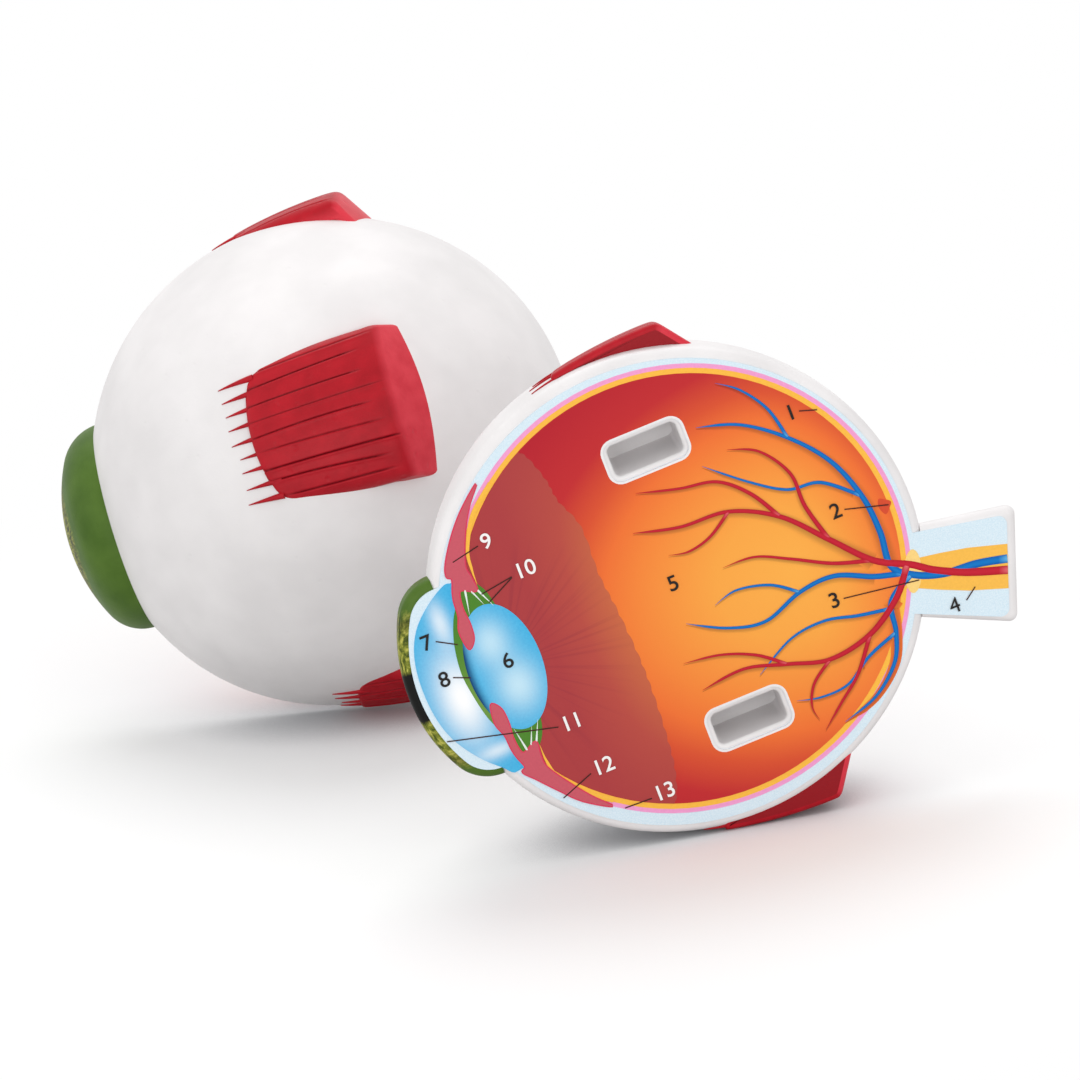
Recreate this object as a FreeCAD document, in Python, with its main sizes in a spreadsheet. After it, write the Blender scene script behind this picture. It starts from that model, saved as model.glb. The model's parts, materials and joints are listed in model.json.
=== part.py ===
"""Take-apart eyeball model in two foam halves, shown apart and standing on their rims.

Each half is built in the frame of the closed eye: the globe's centre is the origin, +X runs to the
cornea, +Y to the upper muscle and the cut lies on z = 0.  The socket half fills z > 0 and the peg
half fills z < 0.  At the end each half is turned and set down on the table, which is z = 0 there.
"""
import FreeCAD, Part
import math
import os
import Sketcher

V = FreeCAD.Vector
SLACK = 1e-3                    # a length or volume smaller than this counts as none
doc = FreeCAD.newDocument("eye_model")

# ---------------------------------------------------------------------------------------------
# Driving sizes, in millimetres and degrees
# ---------------------------------------------------------------------------------------------
SIZES = {
    # globe
    "globe": 120,               # diameter of the white globe
    "rim_round": 2,             # rounding where the cut meets the outside
    # cornea and iris dome
    "cornea_width": 52.3,       # diameter of the dome where it leaves the globe
    "cornea_height": 14.8,      # from the globe's flat to the dome's tip
    "cornea_shoulder": 11,      # radius where the front turns into the side
    # optic nerve stub
    "nerve_angle": 18.5,        # below the back pole
    "nerve_neck": 23.5,         # diameter where it leaves the globe
    "nerve_mouth": 29.5,        # diameter at its cut end
    "nerve_length": 23.2,       # from the globe's flat to the cut end
    # straight muscles
    "muscle_front": 80.5,       # from the cornea's axis, round the globe
    "muscle_back": 114.5,       # foot of the cut end
    "muscle_crest": 106.5,      # outer edge of the cut end
    "side_back": 123,           # the same two on the longer side muscles
    "side_crest": 112.5,
    "muscle_lip": 1.4,          # height above the globe at the front
    "muscle_rise": 6.6,         # height above the globe at the cut end
    "muscle_bow": 120,          # radius of the outer face, along the muscle
    "muscle_dome": 40,          # radius of the outer face at the crest, across the muscle
    "muscle_width_front": 33,
    "muscle_width_back": 38,
    "muscle_edge": 1.8,         # rounding of its outer edges
    "muscle_corner": 4,         # rounding of its front corners
    "furrow_radius": 1.1,
    "furrow_lift": 0.55,        # furrow centre above the outer face
    "furrow_pitch": 4.9,        # angle from one furrow to the next, round the dome's middle
    "furrow_count": 9,
    # tendon fibres
    "fibre_length": 5.2,
    "fibre_root": 0.9,          # radius at the muscle
    "fibre_tip": 0.3,
    "fibre_step": 3.2,          # angle from one fibre to the next
    "fibre_count": 9,
    # sockets and pegs
    "socket_length": 17.5,
    "socket_width": 8,
    "socket_depth": 16,
    "socket_corner": 1.6,
    "socket_span": 72,          # between the two sockets' middles
    "socket_back": 5,           # behind the globe's centre
    "socket_lip": 1.2,          # bare foam between recess and print
    "socket_round": 0.9,        # rounding of the recess's mouth
    "peg_length": 14.5,
    "peg_round": 1.2,
    "peg_gap": 0.25,            # clearance to the recess, each side
    # printed face
    "print_thick": 0.3,
    "print_inset": 2.3,         # from the outside of the foam
    "print_corner": 2,
    # how the halves stand
    "socket_yaw": -172.66,
    "socket_pitch": 12.66,
    "socket_roll": 90,
    "peg_yaw": 174.93,
    "peg_pitch": 10.93,
    "peg_roll": 116.75,
    "spacing_left": 77,         # peg half's centre, to the left of the other
    "spacing_behind": 165,      # peg half's centre, behind the other
}
sheet = doc.addObject("Spreadsheet::Sheet", "size")
for row, (alias, number) in enumerate(SIZES.items(), start=1):
    sheet.set(f"A{row}", alias)
    sheet.set(f"B{row}", str(number))
    sheet.setAlias(f"B{row}", alias)
doc.recompute()

# Sizes that follow from the driving ones, as expressions on the sheet
GLOBE = "(size.globe / 2)"
RIM = "size.rim_round"
LIMBUS = "(size.cornea_width / 2)"
CORNEA_SEAT = f"sqrt({GLOBE}^2 - {LIMBUS}^2)"
CORNEA_TIP = f"({CORNEA_SEAT} + size.cornea_height)"
SHOULDER_OUT = f"({LIMBUS} - size.cornea_shoulder)"
SHOULDER_UNDER = "(size.cornea_height - size.cornea_shoulder)"
RIM_MIDDLE = f"sqrt(({GLOBE} - {RIM})^2 - {RIM}^2)"
NECK = "(size.nerve_neck / 2)"
NERVE_SEAT = f"sqrt({GLOBE}^2 - {NECK}^2)"
NERVE_END = f"({NERVE_SEAT} + size.nerve_length)"
# the dome's front arc passes through its tip and runs on smoothly into the shoulder arc
CROWN = (f"((size.cornea_height^2 + {SHOULDER_OUT}^2 - size.cornea_shoulder^2)"
         f" / (2 * {SHOULDER_UNDER}))")
CROWN_MIDDLE = f"({CORNEA_TIP} - {CROWN})"


def value(expression):
    """Number that an expression on the sheet stands for."""
    return float(sheet.evalExpression(expression))


# ---------------------------------------------------------------------------------------------
# Sketches and features shared by the bodies
# ---------------------------------------------------------------------------------------------
def new_body(label):
    body = doc.addObject("PartDesign::Body", label)
    body.Label = label
    return body


def new_sketch(body, plane, name, offset=None):
    """Sketch on one of the body's own origin planes."""
    sketch = body.newObject("Sketcher::SketchObject", name)
    origin_plane = [f for f in body.Origin.OriginFeatures if f.Role == plane][0]
    sketch.AttachmentSupport = [(origin_plane, "")]
    sketch.MapMode = "FlatFace"
    if offset:
        for axis, expression in zip("xyz", offset):
            sketch.setExpression(f"AttachmentOffset.Base.{axis}", expression)
    doc.recompute()
    return sketch


def pin_point(sketch, geometry, end, x, y):
    """Hold one end of a line or arc at a place given by expressions."""
    for kind, expression in (("DistanceX", x), ("DistanceY", y)):
        number = value(expression)
        if abs(number) < SLACK:
            # a zero distance is written as a point on the axis
            axis = -2 if kind == "DistanceX" else -1
            sketch.addConstraint(Sketcher.Constraint("PointOnObject", geometry, end, axis))
            continue
        index = sketch.addConstraint(Sketcher.Constraint(kind, -1, 1, geometry, end, number))
        sketch.setExpression(f"Constraints[{index}]", expression)


def outline(sketch, corners):
    """Closed outline: each corner is (x, y) or (x, y, radius) where an arc leads on from it.

    A positive radius turns left round its middle, a negative one turns right.
    """
    count = len(corners)
    for index, corner in enumerate(corners):
        here = V(value(corner[0]), value(corner[1]), 0)
        following = corners[(index + 1) % count]
        there = V(value(following[0]), value(following[1]), 0)
        if len(corner) == 2:
            sketch.addGeometry(Part.LineSegment(here, there))
        else:
            turns_left = not corner[2].startswith("-")
            radius = abs(value(corner[2]))
            chord = there - here
            across = V(-chord.y, chord.x, 0).normalize()
            rise = math.sqrt(max(radius ** 2 - (chord.Length / 2) ** 2, 0))
            middle = (here + there) * 0.5 + across * (rise if turns_left else -rise)
            first, last = (here, there) if turns_left else (there, here)
            start = math.atan2(first.y - middle.y, first.x - middle.x)
            stop = math.atan2(last.y - middle.y, last.x - middle.x)
            circle = Part.Circle(middle, V(0, 0, 1), radius)
            sketch.addGeometry(Part.ArcOfCircle(circle, start, stop))
    for index, corner in enumerate(corners):
        turned = len(corner) > 2 and corner[2].startswith("-")
        start_end = 2 if turned else 1
        pin_point(sketch, index, start_end, corner[0], corner[1])
        before = corners[index - 1]
        before_turned = len(before) > 2 and before[2].startswith("-")
        stop_end = 1 if before_turned else 2
        link = Sketcher.Constraint("Coincident", (index - 1) % count, stop_end, index, start_end)
        sketch.addConstraint(link)
        if len(corner) > 2:
            number = abs(value(corner[2]))
            radius = sketch.addConstraint(Sketcher.Constraint("Radius", index, number))
            sketch.setExpression(f"Constraints[{radius}]", corner[2].lstrip("-"))
    doc.recompute()


def rounded_slot(sketch, middle_x, middle_y, length, width, corner):
    """Rectangle with rounded corners, its long side along X."""
    left, right = f"{middle_x} - {length} / 2", f"{middle_x} + {length} / 2"
    low, high = f"{middle_y} - {width} / 2", f"{middle_y} + {width} / 2"
    outline(sketch, [
        (f"{left} + {corner}", low),
        (f"{right} - {corner}", low, corner),
        (right, f"{low} + {corner}"),
        (right, f"{high} - {corner}", corner),
        (f"{right} - {corner}", high),
        (f"{left} + {corner}", high, corner),
        (left, f"{high} - {corner}"),
        (left, f"{low} + {corner}", corner),
    ])


def revolve(body, kind, sketch, axis, angle=360, backwards=False, midplane=False):
    feature = body.newObject(kind, f"{kind.split('::')[1]}_{sketch.Name}")
    feature.Profile = sketch
    feature.ReferenceAxis = (sketch, [axis])
    feature.Angle = angle
    feature.Midplane = midplane
    feature.Reversed = backwards
    sketch.Visibility = False
    doc.recompute()
    return feature


def pad(body, sketch, length, backwards=False, midplane=False):
    feature = body.newObject("PartDesign::Pad", f"Pad_{sketch.Name}")
    feature.Profile = sketch
    feature.setExpression("Length", length)
    feature.Reversed = backwards
    feature.SideType = "Symmetric" if midplane else "One side"
    doc.recompute()
    return feature


def pocket(body, sketch, depth=None, backwards=False):
    """Pocket of a given depth, or right through both ways where no depth is given."""
    before = body.Shape.Volume
    feature = body.newObject("PartDesign::Pocket", f"Pocket_{sketch.Name}")
    feature.Profile = sketch
    if depth is None:
        feature.Type = "ThroughAll"
        feature.SideType = "Symmetric"
    else:
        feature.setExpression("Length", depth)
        feature.Reversed = backwards
    doc.recompute()
    assert body.Shape.Volume < before - SLACK, f"{feature.Name} cut nothing"
    return feature


def round_edges(body, edges, radius):
    rounded = body.Tip
    feature = body.newObject("PartDesign::Fillet", f"Round_{body.Name}")
    feature.Base = (rounded, [f"Edge{number}" for number in edges])
    feature.setExpression("Radius", radius)
    doc.recompute()
    return feature


def edge_numbers(body, wanted):
    """Numbers of the edges for which wanted(edge) is true."""
    edges = enumerate(body.Shape.Edges, start=1)
    return [number for number, edge in edges if not edge.Degenerated and wanted(edge)]


def axis_line(sketch, height):
    """Level construction line at a height in the sketch, for turning things about."""
    left, right = V(-1, value(height), 0), V(1, value(height), 0)
    line = sketch.addGeometry(Part.LineSegment(left, right), True)
    pin_point(sketch, line, 1, "-size.rim_round", height)
    pin_point(sketch, line, 2, "size.rim_round", height)
    doc.recompute()
    return "Axis0"


def globe_cut(body, name):
    """Take the globe's ball out of a body, so that the body seats on it."""
    sketch = new_sketch(body, "XY_Plane", name)
    outline(sketch, [(f"-{GLOBE}", "0"), (GLOBE, "0", GLOBE), ("0", GLOBE, GLOBE)])
    return revolve(body, "PartDesign::Groove", sketch, "H_Axis")


# ---------------------------------------------------------------------------------------------
# Globe: one foam half ball with a rounded rim and flats for the dome and the nerve
# ---------------------------------------------------------------------------------------------
def make_globe(label, side, with_sockets):
    body = new_body(label)
    profile = new_sketch(body, "XZ_Plane", f"{label}_profile")
    sign = "" if side > 0 else "-"
    rim_out = f"({RIM_MIDDLE} * {GLOBE} / ({GLOBE} - {RIM}))"
    rim_up = f"({RIM} * {GLOBE} / ({GLOBE} - {RIM}))"
    outline(profile, [
        ("0", "0"),
        (RIM_MIDDLE, "0", f"{sign}{RIM}"),
        (rim_out, f"{sign}{rim_up}", f"{sign}{GLOBE}"),
        ("0", f"{sign}{GLOBE}"),
    ])
    revolve(body, "PartDesign::Revolution", profile, "V_Axis")

    cornea_flat = new_sketch(body, "XY_Plane", f"{label}_cornea_flat")
    beyond = "size.globe"
    outline(cornea_flat, [
        (CORNEA_SEAT, f"-{GLOBE}"),
        (beyond, f"-{GLOBE}"),
        (beyond, GLOBE),
        (CORNEA_SEAT, GLOBE),
    ])
    pocket(body, cornea_flat)

    nerve_flat = new_sketch(body, "XY_Plane", f"{label}_nerve_flat")
    cosine = "cos(size.nerve_angle * 1 deg)"
    sine = "sin(size.nerve_angle * 1 deg)"
    far = "size.globe"
    half = "size.nerve_neck"

    def on_nerve(along, across):
        return (f"-({along}) * {cosine} + ({across}) * {sine}",
                f"-({along}) * {sine} - ({across}) * {cosine}")

    outline(nerve_flat, [
        on_nerve(NERVE_SEAT, half),
        on_nerve(NERVE_SEAT, f"-{half}"),
        on_nerve(far, f"-{half}"),
        on_nerve(far, half),
    ])
    pocket(body, nerve_flat)

    if with_sockets:
        for name, place in (("upper", "size.socket_span / 2"), ("lower", "-size.socket_span / 2")):
            recess = new_sketch(body, "XY_Plane", f"{label}_{name}_socket")
            rounded_slot(recess, "-size.socket_back", place, "size.socket_length",
                         "size.socket_width", "size.socket_corner")
            pocket(body, recess, "size.socket_depth", backwards=side > 0)
        longest = value("size.socket_length")
        mouths = edge_numbers(body, lambda e: max(abs(e.BoundBox.ZMin), abs(e.BoundBox.ZMax)) < SLACK
                              and e.BoundBox.DiagonalLength < longest)
        round_edges(body, mouths, "size.socket_round")
    return body


# ---------------------------------------------------------------------------------------------
# Cornea and iris dome: half of a blunt cap on the globe's front flat
# ---------------------------------------------------------------------------------------------
def dome_corners(inset):
    """Front radius, shoulder radius, the point where they meet and where the shoulder ends."""
    crown = f"({CROWN} - {inset})"
    shoulder = f"(size.cornea_shoulder - {inset})"
    gap = f"({CROWN} - size.cornea_shoulder)"
    join_x = f"({CROWN_MIDDLE} + {crown} * ({CORNEA_SEAT} - {CROWN_MIDDLE}) / {gap})"
    join_y = f"({crown} * {SHOULDER_OUT} / {gap})"
    return crown, shoulder, (join_x, join_y), (CORNEA_SEAT, f"({LIMBUS} - {inset})")


def make_dome(label, side):
    body = new_body(label)
    profile = new_sketch(body, "XY_Plane", f"{label}_profile")
    crown, shoulder, join, side_end = dome_corners("0")
    outline(profile, [
        (CORNEA_SEAT, "0"),
        (CORNEA_TIP, "0", crown),
        (*join, shoulder),
        side_end,
    ])
    revolve(body, "PartDesign::Revolution", profile, "H_Axis", 180, backwards=side < 0)
    seat = value(CORNEA_SEAT)
    rim = edge_numbers(body, lambda e: e.BoundBox.ZLength < SLACK and e.BoundBox.XMax > seat + SLACK)
    round_edges(body, rim, "size.rim_round")
    return body


# ---------------------------------------------------------------------------------------------
# Optic nerve stub: half of a short flared root on the back flat
# ---------------------------------------------------------------------------------------------
def make_nerve(label, side):
    body = new_body(label)
    profile = new_sketch(body, "XY_Plane", f"{label}_profile")
    outline(profile, [
        (f"-{NERVE_SEAT}", "0"),
        (f"-{NERVE_SEAT}", NECK),
        (f"-{NERVE_END}", "size.nerve_mouth / 2"),
        (f"-{NERVE_END}", "0"),
    ])
    revolve(body, "PartDesign::Revolution", profile, "H_Axis", 180, backwards=side < 0)
    seat = value(NERVE_SEAT)
    rounded = edge_numbers(body, lambda e: e.BoundBox.XMin < -seat - SLACK)
    round_edges(body, rounded, "size.rim_round")
    return body


# ---------------------------------------------------------------------------------------------
# Straight muscle: a bowed, furrowed block that swells towards its cut end
# ---------------------------------------------------------------------------------------------
MUSCLE_SECTOR = 40              # degrees that a muscle's block is turned through, before its trim
FURROW_SWEEP = 32               # degrees round the bow's middle, past both of the muscle's ends


def is_upright(edge):
    """Whether an edge runs through the muscle's thickness, on a side wall."""
    box = edge.BoundBox
    return box.YLength > 2 * max(box.XLength, box.ZLength)


def polar(radius, angle):
    return (f"({radius}) * cos({angle} * 1 deg)", f"({radius}) * sin({angle} * 1 deg)")


def make_muscle(label, side):
    """side 0 gives the whole muscle, +1 or -1 the half on that side of the cut."""
    body = new_body(label)
    profile = new_sketch(body, "XY_Plane", f"{label}_profile")
    inside = f"{GLOBE} - 1.5 * size.muscle_edge"
    front_foot = polar(inside, "size.muscle_front")
    front_lip = polar(f"{GLOBE} + size.muscle_lip", "size.muscle_front")
    which = "muscle" if side else "side"
    crest = polar(f"{GLOBE} + size.muscle_rise", f"size.{which}_crest")
    back_foot = polar(inside, f"size.{which}_back")
    outline(profile, [
        front_foot,
        (*front_lip, "size.muscle_bow"),
        crest,
        back_foot,
    ])
    dome_middle = f"({crest[1]} - size.muscle_dome)"
    axis = axis_line(profile, dome_middle)
    sector = MUSCLE_SECTOR if side else 2 * MUSCLE_SECTOR
    revolve(body, "PartDesign::Revolution", profile, axis, sector, side < 0, side == 0)

    # the sides draw in towards the front
    for name, sign in (("near", 1), ("far", -1)):
        if side * sign < 0:
            continue
        taper = new_sketch(body, "XZ_Plane", f"{label}_{name}_taper")
        mark = "" if sign > 0 else "-"
        ahead = f"{front_lip[0]} + size.muscle_lip"
        behind = back_foot[0]
        outline(taper, [
            (ahead, f"{mark}size.muscle_width_front / 2"),
            (ahead, f"{mark}size.muscle_width_back"),
            (behind, f"{mark}size.muscle_width_back"),
            (behind, f"{mark}size.muscle_width_back / 2"),
        ])
        pocket(body, taper)

    # the front corners, then every outer edge
    ahead_of = value(f"{front_foot[0]} - size.muscle_edge")
    corners = edge_numbers(body, lambda e: is_upright(e) and e.BoundBox.XMin > ahead_of
                           and min(abs(v.Z) for v in e.Vertexes) > SLACK)
    round_edges(body, corners, "size.muscle_corner")
    low = value(f"{GLOBE} - size.muscle_edge")
    rounded = edge_numbers(body, lambda e: max(v.Point.Length for v in e.Vertexes) > low)
    round_edges(body, rounded, "size.muscle_edge")

    # furrows run along the bowed face, round its middle, and repeat round the dome's middle
    chord_middle, chord_across = bow_middle(front_lip, crest)
    count = int(value("size.furrow_count"))
    start = f"(-({count} - 1) / 2 * size.furrow_pitch)"
    if side:
        start = f"({side} * size.furrow_pitch / 2)"
    swing = f"(({chord_across}) - {dome_middle})"
    section = new_sketch(body, "YZ_Plane", f"{label}_furrow", offset=(
        f"{dome_middle} + {swing} * cos({start} * 1 deg)",
        f"{swing} * sin({start} * 1 deg)",
        chord_middle))
    section.setExpression("AttachmentOffset.Rotation.Angle", f"{start} * 1 deg")
    reach = "size.muscle_bow + size.furrow_lift"
    circle = Part.Circle(V(value(reach), 0, 0), V(0, 0, 1), value("size.furrow_radius"))
    section.addGeometry(circle)
    pin_point(section, 0, 3, reach, "0")
    radius = section.addConstraint(Sketcher.Constraint("Radius", 0, value("size.furrow_radius")))
    section.setExpression(f"Constraints[{radius}]", "size.furrow_radius")
    doc.recompute()
    groove = revolve(body, "PartDesign::Groove", section, "V_Axis", FURROW_SWEEP, midplane=True)
    pattern = body.newObject("PartDesign::PolarPattern", f"{label}_furrows")
    pattern.Originals = [groove]
    pattern.Axis = (profile, [axis])
    pattern.Reversed = side < 0
    copies = count if side == 0 else count // 2
    pattern.Angle = value("size.furrow_pitch") * (copies - 1)
    pattern.Occurrences = copies
    body.Tip = pattern
    doc.recompute()

    globe_cut(body, f"{label}_seat")
    return body


def bow_middle(start, stop):
    """Expressions for the middle of the bowed face's arc, which turns left from start to stop."""
    half_x = f"(({stop[0]}) - ({start[0]})) / 2"
    half_y = f"(({stop[1]}) - ({start[1]})) / 2"
    half = f"sqrt(({half_x})^2 + ({half_y})^2)"
    rise = f"sqrt(size.muscle_bow^2 - ({half})^2)"
    middle_x = f"({start[0]}) + {half_x} - ({half_y}) / ({half}) * {rise}"
    middle_y = f"({start[1]}) + {half_y} + ({half_x}) / ({half}) * {rise}"
    return middle_x, middle_y


# ---------------------------------------------------------------------------------------------
# Tendon fibres: tapered strands that lie on the globe ahead of each muscle
# ---------------------------------------------------------------------------------------------
def make_tendon(label, side):
    globe = value(GLOBE)
    angle = math.radians(value("size.muscle_front"))
    root = V(globe * math.cos(angle), globe * math.sin(angle), 0)
    forward = V(math.sin(angle), -math.cos(angle), 0)
    step = value("size.fibre_step")
    count = int(value("size.fibre_count"))
    if side == 0:
        turns = [(index - (count - 1) / 2) * step for index in range(count)]
    else:
        turns = [side * (index + 0.5) * step for index in range(count // 2)]
    strands = []
    for index, turn in enumerate(turns):
        strand = doc.addObject("Part::Cone", f"{label}_strand_{index}")
        strand.setExpression("Radius1", "size.fibre_root")
        strand.setExpression("Radius2", "size.fibre_tip")
        strand.setExpression("Height", "size.fibre_length")
        lie = FreeCAD.Rotation(V(0, 0, 1), forward)
        around = FreeCAD.Rotation(V(1, 0, 0), turn)
        strand.Placement = FreeCAD.Placement(around.multVec(root), around * lie)
        strands.append(strand)
    bundle = doc.addObject("Part::MultiFuse", f"{label}_bundle")
    bundle.Shapes = strands
    ball = doc.addObject("Part::Sphere", f"{label}_ball")
    ball.setExpression("Radius", GLOBE)
    tendon = doc.addObject("Part::Cut", label)
    tendon.Base = bundle
    tendon.Tool = ball
    doc.recompute()
    return tendon


# ---------------------------------------------------------------------------------------------
# Printed face: a thin sheet over the cut, with a window at each socket or peg
# ---------------------------------------------------------------------------------------------
def make_print(label, side):
    body = new_body(label)
    inset = "size.print_inset"
    outward = side > 0
    disc = new_sketch(body, "XY_Plane", f"{label}_disc")
    disc.addGeometry(Part.Circle(V(0, 0, 0), V(0, 0, 1), value(f"{GLOBE} - {inset}")))
    disc.addConstraint(Sketcher.Constraint("Coincident", 0, 3, -1, 1))
    radius = disc.addConstraint(Sketcher.Constraint("Radius", 0, value(f"{GLOBE} - {inset}")))
    disc.setExpression(f"Constraints[{radius}]", f"{GLOBE} - {inset}")
    doc.recompute()
    pad(body, disc, "size.print_thick", backwards=outward)

    front = new_sketch(body, "XY_Plane", f"{label}_front")
    crown, shoulder, join, side_end = dome_corners(inset)
    tip = f"{CORNEA_TIP} - {inset}"
    back = f"{CORNEA_SEAT} - 2 * {inset}"
    outline(front, [
        (tip, "0", crown),
        (*join, shoulder),
        side_end,
        (back, side_end[1]),
        (back, f"-{side_end[1]}"),
        (side_end[0], f"-{side_end[1]}", shoulder),
        (join[0], f"-{join[1]}", crown),
    ])
    pad(body, front, "size.print_thick", backwards=outward)

    root = new_sketch(body, "XY_Plane", f"{label}_root")
    root.setExpression("AttachmentOffset.Rotation.Angle", "size.nerve_angle * 1 deg")
    end = f"-({NERVE_END} - {inset})"
    near = f"-({NERVE_SEAT} - 3 * {inset})"
    corner = "size.print_corner"
    outline(root, [
        (near, f"{NECK} - {inset}"),
        (f"({end}) + {corner}", f"size.nerve_mouth / 2 - {inset}", corner),
        (end, f"size.nerve_mouth / 2 - {inset} - {corner}"),
        (end, f"-(size.nerve_mouth / 2 - {inset} - {corner})", corner),
        (f"({end}) + {corner}", f"-(size.nerve_mouth / 2 - {inset})"),
        (near, f"-({NECK} - {inset})"),
    ])
    pad(body, root, "size.print_thick", backwards=outward)

    for name, place in (("upper", "size.socket_span / 2"), ("lower", "-size.socket_span / 2")):
        window = new_sketch(body, "XY_Plane", f"{label}_{name}_window")
        rounded_slot(window, "-size.socket_back", place,
                     "(size.socket_length + 2 * size.socket_lip)",
                     "(size.socket_width + 2 * size.socket_lip)",
                     "(size.socket_corner + size.socket_lip)")
        pocket(body, window)
    return body


# ---------------------------------------------------------------------------------------------
# Peg: a rounded foam block that presses into its socket
# ---------------------------------------------------------------------------------------------
def make_peg(label, place):
    body = new_body(label)
    section = new_sketch(body, "XY_Plane", f"{label}_section")
    rounded_slot(section, "-size.socket_back", place,
                 "(size.socket_length - 2 * size.peg_gap)",
                 "(size.socket_width - 2 * size.peg_gap)",
                 "(size.socket_corner - size.peg_gap)")
    pad(body, section, "size.peg_length")
    end = value("size.peg_length")
    rounded = edge_numbers(body, lambda e: e.BoundBox.ZMin > end - SLACK)
    round_edges(body, rounded, "size.peg_round")
    return body


# ---------------------------------------------------------------------------------------------
# The two halves, each as a list of (piece, place in the closed eye)
# ---------------------------------------------------------------------------------------------
def about_axis(degrees):
    return FreeCAD.Placement(V(0, 0, 0), FreeCAD.Rotation(V(1, 0, 0), degrees))


def make_half(name, side, with_sockets):
    upright = about_axis(0)
    nerve_place = FreeCAD.Placement(V(0, 0, 0), FreeCAD.Rotation(V(0, 0, 1), value("size.nerve_angle")))
    pieces = [
        (make_globe(f"{name}_sclera", side, with_sockets), upright),
        (make_dome(f"{name}_cornea_dome", side), upright),
        (make_nerve(f"{name}_optic_nerve", side), nerve_place),
        (make_print(f"{name}_face_print", side), upright),
    ]
    # a half turn about the axis swaps the sides, so the lower pieces start on the other one
    for position, turn, part_side in (("upper", 0, side), ("lower", 180, -side),
                                      ("side", 90 * side, 0)):
        place = about_axis(turn)
        pieces.append((make_muscle(f"{name}_{position}_rectus", part_side), place))
        pieces.append((make_tendon(f"{name}_{position}_tendon", part_side), place))
    return pieces


socket_half = make_half("socket_half", 1, True)
peg_half = make_half("peg_half", -1, False)
peg_half.append((make_peg("upper_peg", "size.socket_span / 2"), about_axis(0)))
peg_half.append((make_peg("lower_peg", "-size.socket_span / 2"), about_axis(0)))


def set_down(pieces, half, left, behind):
    """Turn a half as it stands, and put its lowest point on the table."""
    turn = FreeCAD.Rotation(value(f"size.{half}_yaw"), value(f"size.{half}_pitch"),
                            value(f"size.{half}_roll"))
    stand = FreeCAD.Placement(V(-left, behind, 0), turn)
    for piece, place in pieces:
        piece.Placement = stand * place
    doc.recompute()
    lowest = min(piece.Shape.optimalBoundingBox(False).ZMin for piece, place in pieces)
    for piece, place in pieces:
        piece.Placement = FreeCAD.Placement(V(0, 0, -lowest), FreeCAD.Rotation()) * piece.Placement
    doc.recompute()


set_down(socket_half, "socket", 0, 0)
set_down(peg_half, "peg", value("size.spacing_left"), value("size.spacing_behind"))

# the origin is the middle of the footprint
nodes = [piece for piece, place in socket_half + peg_half]
boxes = [piece.Shape.optimalBoundingBox(False) for piece in nodes]
middle_x = (min(box.XMin for box in boxes) + max(box.XMax for box in boxes)) / 2
middle_y = (min(box.YMin for box in boxes) + max(box.YMax for box in boxes)) / 2
centre = FreeCAD.Placement(V(-middle_x, -middle_y, 0), FreeCAD.Rotation())
for piece in nodes:
    piece.Placement = centre * piece.Placement
doc.recompute()

# ---------------------------------------------------------------------------------------------
# Check and export
# ---------------------------------------------------------------------------------------------
for item in doc.Objects:
    assert "Invalid" not in item.State and "Error" not in item.State, f"{item.Label}: {item.State}"
os.makedirs("parts", exist_ok=True)
for piece in nodes:
    shape = piece.Shape
    assert not shape.isNull() and shape.isValid(), f"{piece.Label} is not a valid shape"
    assert shape.Volume > 0, f"{piece.Label} is empty"
    shape.exportStep(f"parts/{piece.Label}.step")
    box = shape.optimalBoundingBox(False)
    print(f"{piece.Label:28s} {len(shape.Solids)} solid(s) {shape.Volume:10.1f} mm3"
          f"  z {box.ZMin:7.2f} to {box.ZMax:7.2f}")
print("socket half centre", socket_half[0][0].Placement.Base)
print("peg half centre", peg_half[0][0].Placement.Base)
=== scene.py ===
import json
import math
import random

import bmesh
import bpy
from mathutils import Matrix, Vector
from mathutils.geometry import tessellate_polygon


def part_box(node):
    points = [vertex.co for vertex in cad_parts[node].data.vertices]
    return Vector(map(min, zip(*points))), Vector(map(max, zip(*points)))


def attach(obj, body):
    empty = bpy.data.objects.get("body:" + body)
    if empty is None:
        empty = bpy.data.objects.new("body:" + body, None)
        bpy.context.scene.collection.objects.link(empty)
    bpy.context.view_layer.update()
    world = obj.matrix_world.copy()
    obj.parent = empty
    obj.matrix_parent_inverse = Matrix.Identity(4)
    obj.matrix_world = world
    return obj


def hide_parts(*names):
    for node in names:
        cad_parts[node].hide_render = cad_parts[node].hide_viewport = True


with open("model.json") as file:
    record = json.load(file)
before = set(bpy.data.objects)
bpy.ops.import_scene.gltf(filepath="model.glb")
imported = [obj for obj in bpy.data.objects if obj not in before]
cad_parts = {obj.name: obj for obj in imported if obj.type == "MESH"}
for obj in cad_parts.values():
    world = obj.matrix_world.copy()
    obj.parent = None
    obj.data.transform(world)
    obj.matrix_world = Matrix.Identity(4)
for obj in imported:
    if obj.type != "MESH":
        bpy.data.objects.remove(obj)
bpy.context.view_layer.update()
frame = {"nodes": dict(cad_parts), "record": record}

# --------------------
# How the two halves lie
# The eye is cut through its axis. Each half keeps the closed eye's own frame, in millimetres:
# the globe's centre is the origin, x runs to the cornea, y to the upper muscle, the cut is z = 0.
MM = 0.001
GLOBE = 60.0
SHEET = 0.3  # thickness of the printed sheet on each cut face

mounts = {mount["name"]: mount for mount in frame["record"]["mounts"]}


def middle(node):
    low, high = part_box(node)
    return (Vector(low) + Vector(high)) / 2


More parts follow.
